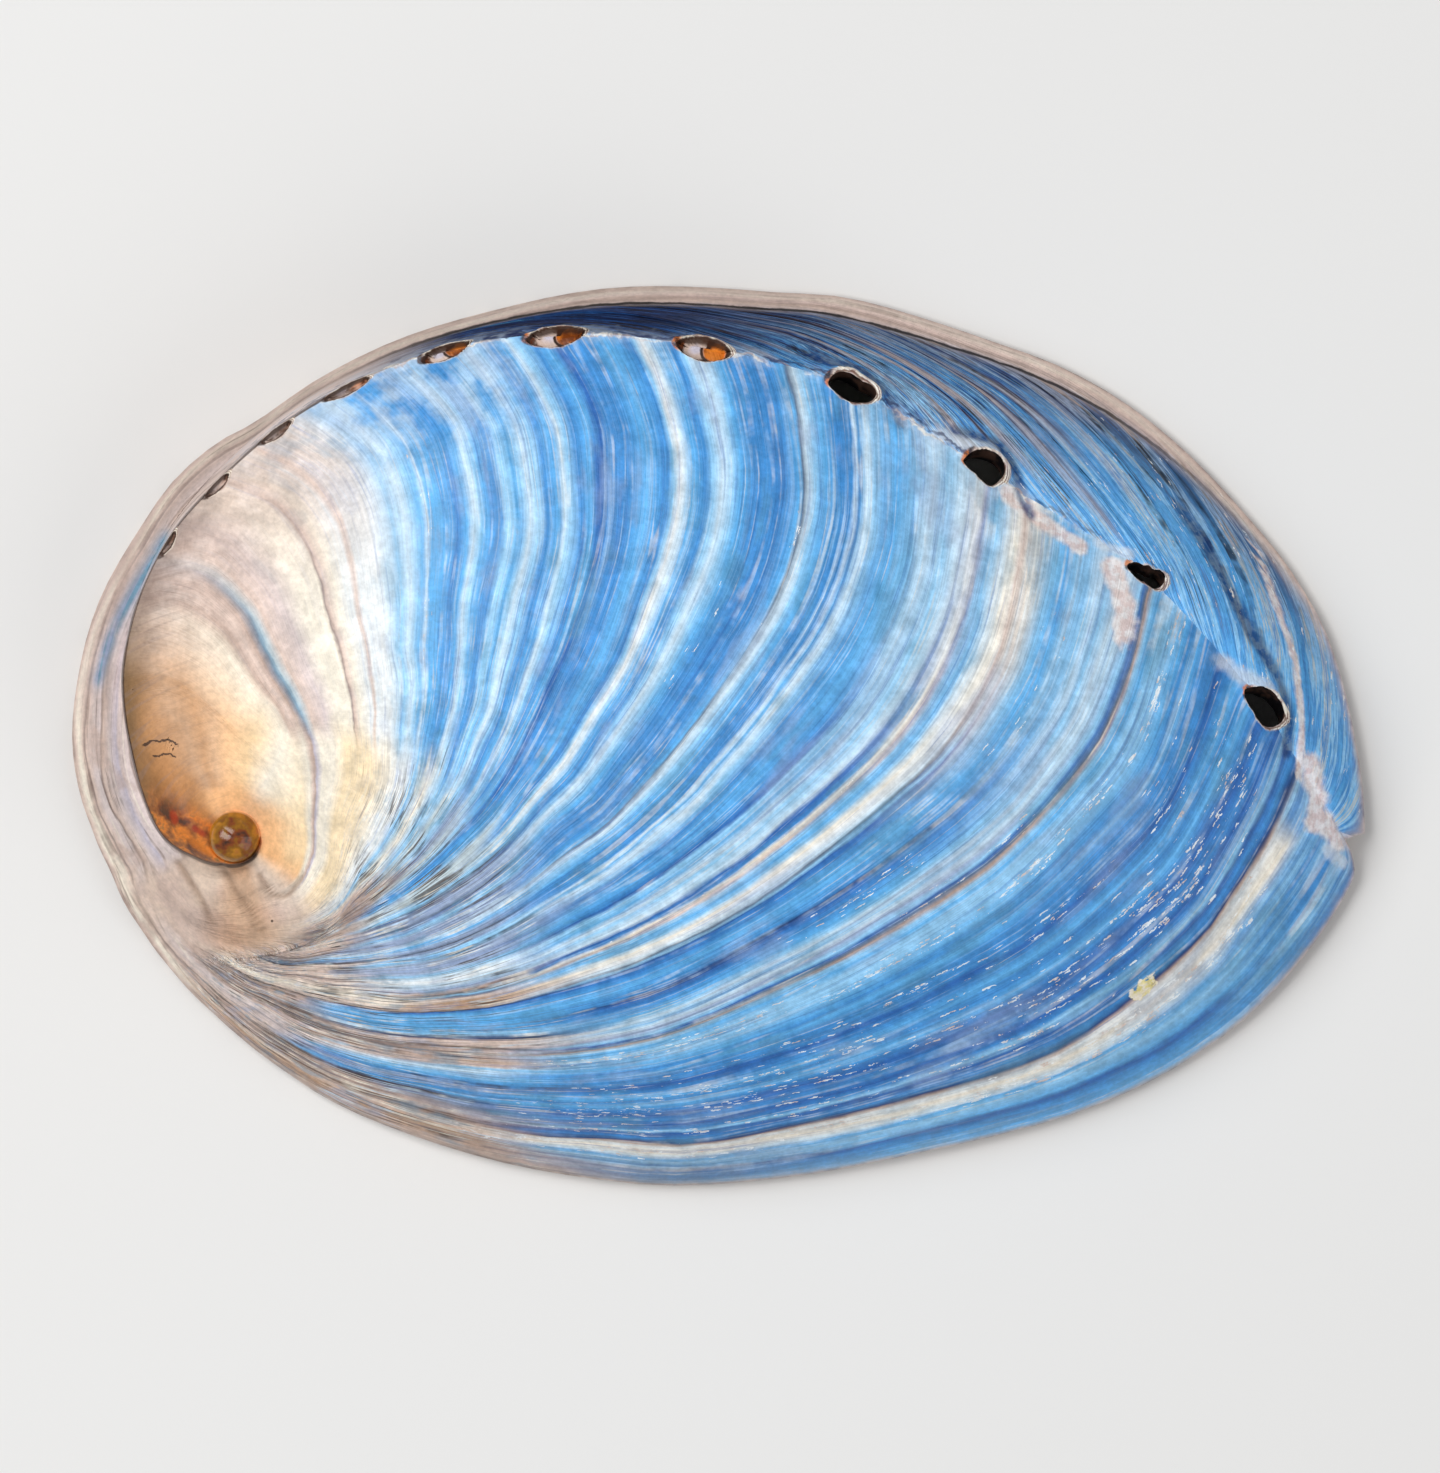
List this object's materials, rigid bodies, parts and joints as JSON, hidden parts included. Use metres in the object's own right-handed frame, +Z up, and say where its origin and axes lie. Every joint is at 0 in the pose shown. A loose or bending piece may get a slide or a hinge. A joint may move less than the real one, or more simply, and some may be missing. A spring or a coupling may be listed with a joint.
{
  "type": "abalone shell",
  "caption": "Dished ear-shaped abalone shell: blue outside with pale growth bands, row of breathing holes along the shoulder, low spire at one end, nacre inside.",
  "frame": {"origin": "centre of the outline seen from above, at the table the open side rests on", "axes": "+Z up out of the convex back, +X along the length from the spire end to the growing end, +Y towards the wall side with the row of holes"},
  "size_m": [0.097, 0.0675, 0.0227],
  "materials": {
    "shell_blue": "satin, banded blue and cream outside, nacre inside"
  },
  "bodies": {
    "root": {"shell": "shell_blue"}
  },
  "joints": []
}
